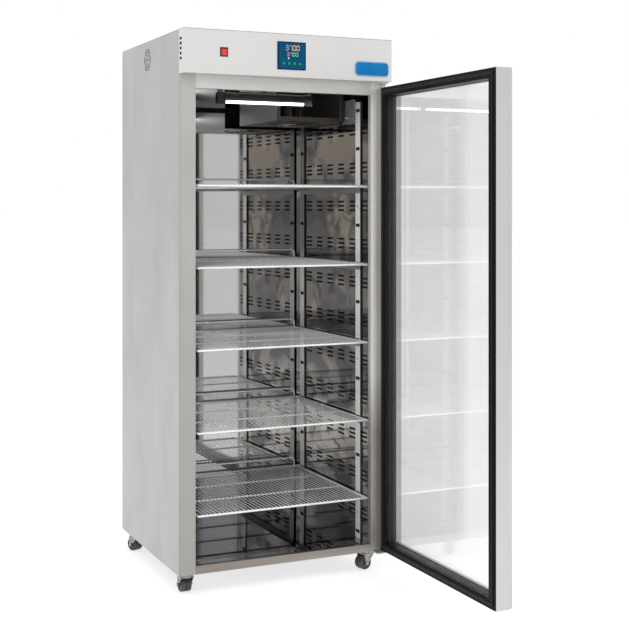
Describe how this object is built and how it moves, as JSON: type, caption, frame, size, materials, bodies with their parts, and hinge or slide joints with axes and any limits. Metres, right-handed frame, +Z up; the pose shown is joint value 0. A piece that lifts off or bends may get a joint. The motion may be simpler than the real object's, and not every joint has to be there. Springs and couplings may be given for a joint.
{
  "type": "fluid warming cabinet",
  "caption": "Upright heated cabinet on casters with a glazed side-hung door, wire shelves on side runners, slotted warm-air walls and a control header.",
  "frame": {"origin": "on the floor under the middle of the object's outer box with the door open at a right angle", "axes": "+Z up, +X to the right of someone facing the door side, +Y from the door side to the back"},
  "size_m": [0.828, 1.487, 1.911],
  "materials": {
    "outer_steel": "brushed stainless sheet, satin",
    "inner_steel": "bright annealed stainless sheet",
    "shelf_wire": "polished stainless wire",
    "foam": "light cellular insulation",
    "door_profile": "satin drawn profile with a steel look",
    "black_trim": "black, matte",
    "gasket": "dark grey, matte",
    "bead": "satin",
    "glass": "clear heated double glazing",
    "spacer": "dark, matte",
    "bush": "white bearing plastic",
    "zinc_steel": "bright zinc plated",
    "caster_tread": "dark grey polyamide, satin",
    "control_blue": "blue panel",
    "window": "dark blue display window",
    "key_green": "green",
    "switch_black": "black",
    "rocker_red": "red, lit",
    "dark_metal": "black enamel",
    "heater_sheath": "heat-tinted steel sheath",
    "lamp_white": "milk white tube"
  },
  "bodies": {
    "cabinet": {"side_panel_left": "outer_steel", "side_panel_right": "outer_steel", "back_panel": "outer_steel", "base_panel": "outer_steel", "top_cover": "outer_steel", "front_post_left": "outer_steel", "front_post_right": "outer_steel", "head_rail": "outer_steel", "sill": "outer_steel", "header_fascia": "outer_steel", "insulation": "foam", "liner": "inner_steel", "duct_panel_left": "inner_steel", "duct_panel_right": "inner_steel", "uprights_left": "inner_steel", "uprights_right": "inner_steel", "runners_left": "inner_steel", "runners_right": "inner_steel", "fan_housing": "inner_steel", "fan_motor": "dark_metal", "heater_element": "heater_sheath", "lamp_batten": "switch_black", "lamp_tube": "lamp_white", "temperature_probe": "inner_steel", "mains_inlet": "switch_black", "controller": "control_blue", "controller_window": "window", "switch_housing": "switch_black", "hinge_bracket_top": "outer_steel", "hinge_bracket_bottom": "outer_steel", "caster_plates": "zinc_steel"},
    "door": {"door_stile_hinge": "door_profile", "door_stile_lead": "door_profile", "door_rail_top": "door_profile", "door_rail_bottom": "door_profile", "door_trim": "black_trim", "door_gasket": "gasket", "glazing_bead": "bead", "glass_panes": "glass", "glass_spacer": "spacer", "hinge_bushes": "bush"},
    "fan": {"fan_impeller": "dark_metal"},
    "power_rocker": {"rocker": "rocker_red"},
    "shelf_1": {"shelf_1": "shelf_wire"},
    "shelf_2": {"shelf_2": "shelf_wire"},
    "shelf_3": {"shelf_3": "shelf_wire"},
    "shelf_4": {"shelf_4": "shelf_wire"},
    "shelf_5": {"shelf_5": "shelf_wire"},
    "key_1": {"key_1": "key_green"},
    "key_2": {"key_2": "key_green"},
    "key_3": {"key_3": "key_green"},
    "key_4": {"key_4": "key_green"},
    "swivel_front_left": {"fork_front_left": "zinc_steel"},
    "wheel_front_left": {"roller_front_left": "caster_tread"},
    "swivel_front_right": {"fork_front_right": "zinc_steel"},
    "wheel_front_right": {"roller_front_right": "caster_tread"},
    "swivel_rear_left": {"fork_rear_left": "zinc_steel"},
    "wheel_rear_left": {"roller_rear_left": "caster_tread"},
    "swivel_rear_right": {"fork_rear_right": "zinc_steel"},
    "wheel_rear_right": {"roller_rear_right": "caster_tread"}
  },
  "joints": [
    {"name": "door_hinge", "type": "hinge", "parent": "cabinet", "child": "door", "pos_m": [0.352, 0.0205, 0.911], "axis": [0, 0, 1], "range_deg": [-90, 20]},
    {"name": "shelf_slide_1", "type": "slide", "parent": "cabinet", "child": "shelf_1", "axis": [0, -1, 0], "range_m": [0, 0.3]},
    {"name": "shelf_slide_2", "type": "slide", "parent": "cabinet", "child": "shelf_2", "axis": [0, -1, 0], "range_m": [0, 0.3]},
    {"name": "shelf_slide_3", "type": "slide", "parent": "cabinet", "child": "shelf_3", "axis": [0, -1, 0], "range_m": [0, 0.3]},
    {"name": "shelf_slide_4", "type": "slide", "parent": "cabinet", "child": "shelf_4", "axis": [0, -1, 0], "range_m": [0, 0.3]},
    {"name": "shelf_slide_5", "type": "slide", "parent": "cabinet", "child": "shelf_5", "axis": [0, -1, 0], "range_m": [0, 0.3]},
    {"name": "power_rocker_tilt", "type": "hinge", "parent": "cabinet", "child": "power_rocker", "pos_m": [-0.2715, -0.0075, 1.836], "axis": [1, 0, 0], "range_deg": [-14, 0]},
    {"name": "key_press_1", "type": "slide", "parent": "cabinet", "child": "key_1", "axis": [0, 1, 0], "range_m": [0, 0.0008], "stiffness_N_per_m": 900, "springref_m": -0.0006},
    {"name": "key_press_2", "type": "slide", "parent": "cabinet", "child": "key_2", "axis": [0, 1, 0], "range_m": [0, 0.0008], "stiffness_N_per_m": 900, "springref_m": -0.0006},
    {"name": "key_press_3", "type": "slide", "parent": "cabinet", "child": "key_3", "axis": [0, 1, 0], "range_m": [0, 0.0008], "stiffness_N_per_m": 900, "springref_m": -0.0006},
    {"name": "key_press_4", "type": "slide", "parent": "cabinet", "child": "key_4", "axis": [0, 1, 0], "range_m": [0, 0.0008], "stiffness_N_per_m": 900, "springref_m": -0.0006},
    {"name": "fan_spin", "type": "hinge", "parent": "cabinet", "child": "fan", "pos_m": [0.1555, 0.4665, 1.648], "axis": [0, 0, 1], "continuous": true},
    {"name": "swivel_front_left", "type": "hinge", "parent": "cabinet", "child": "swivel_front_left", "pos_m": [-0.3685, 0.0985, 0.06], "axis": [0, 0, 1], "continuous": true},
    {"name": "roll_front_left", "type": "hinge", "parent": "swivel_front_left", "child": "wheel_front_left", "pos_m": [-0.3685, 0.1165, 0.025], "axis": [1, 0, 0], "continuous": true},
    {"name": "swivel_front_right", "type": "hinge", "parent": "cabinet", "child": "swivel_front_right", "pos_m": [0.3175, 0.0985, 0.06], "axis": [0, 0, 1], "continuous": true},
    {"name": "roll_front_right", "type": "hinge", "parent": "swivel_front_right", "child": "wheel_front_right", "pos_m": [0.30003, 0.09415, 0.025], "axis": [-0.2419, 0.9703, 0], "continuous": true},
    {"name": "swivel_rear_left", "type": "hinge", "parent": "cabinet", "child": "swivel_rear_left", "pos_m": [-0.3685, 0.6815, 0.06], "axis": [0, 0, 1], "continuous": true},
    {"name": "roll_rear_left", "type": "hinge", "parent": "swivel_rear_left", "child": "wheel_rear_left", "pos_m": [-0.37582, 0.69794, 0.025], "axis": [0.9135, 0.4067, 0], "continuous": true},
    {"name": "swivel_rear_right", "type": "hinge", "parent": "cabinet", "child": "swivel_rear_right", "pos_m": [0.3175, 0.6815, 0.06], "axis": [0, 0, 1], "continuous": true},
    {"name": "roll_rear_right", "type": "hinge", "parent": "swivel_rear_right", "child": "wheel_rear_right", "pos_m": [0.32858, 0.69568, 0.025], "axis": [0.788, -0.6157, 0], "continuous": true}
  ]
}
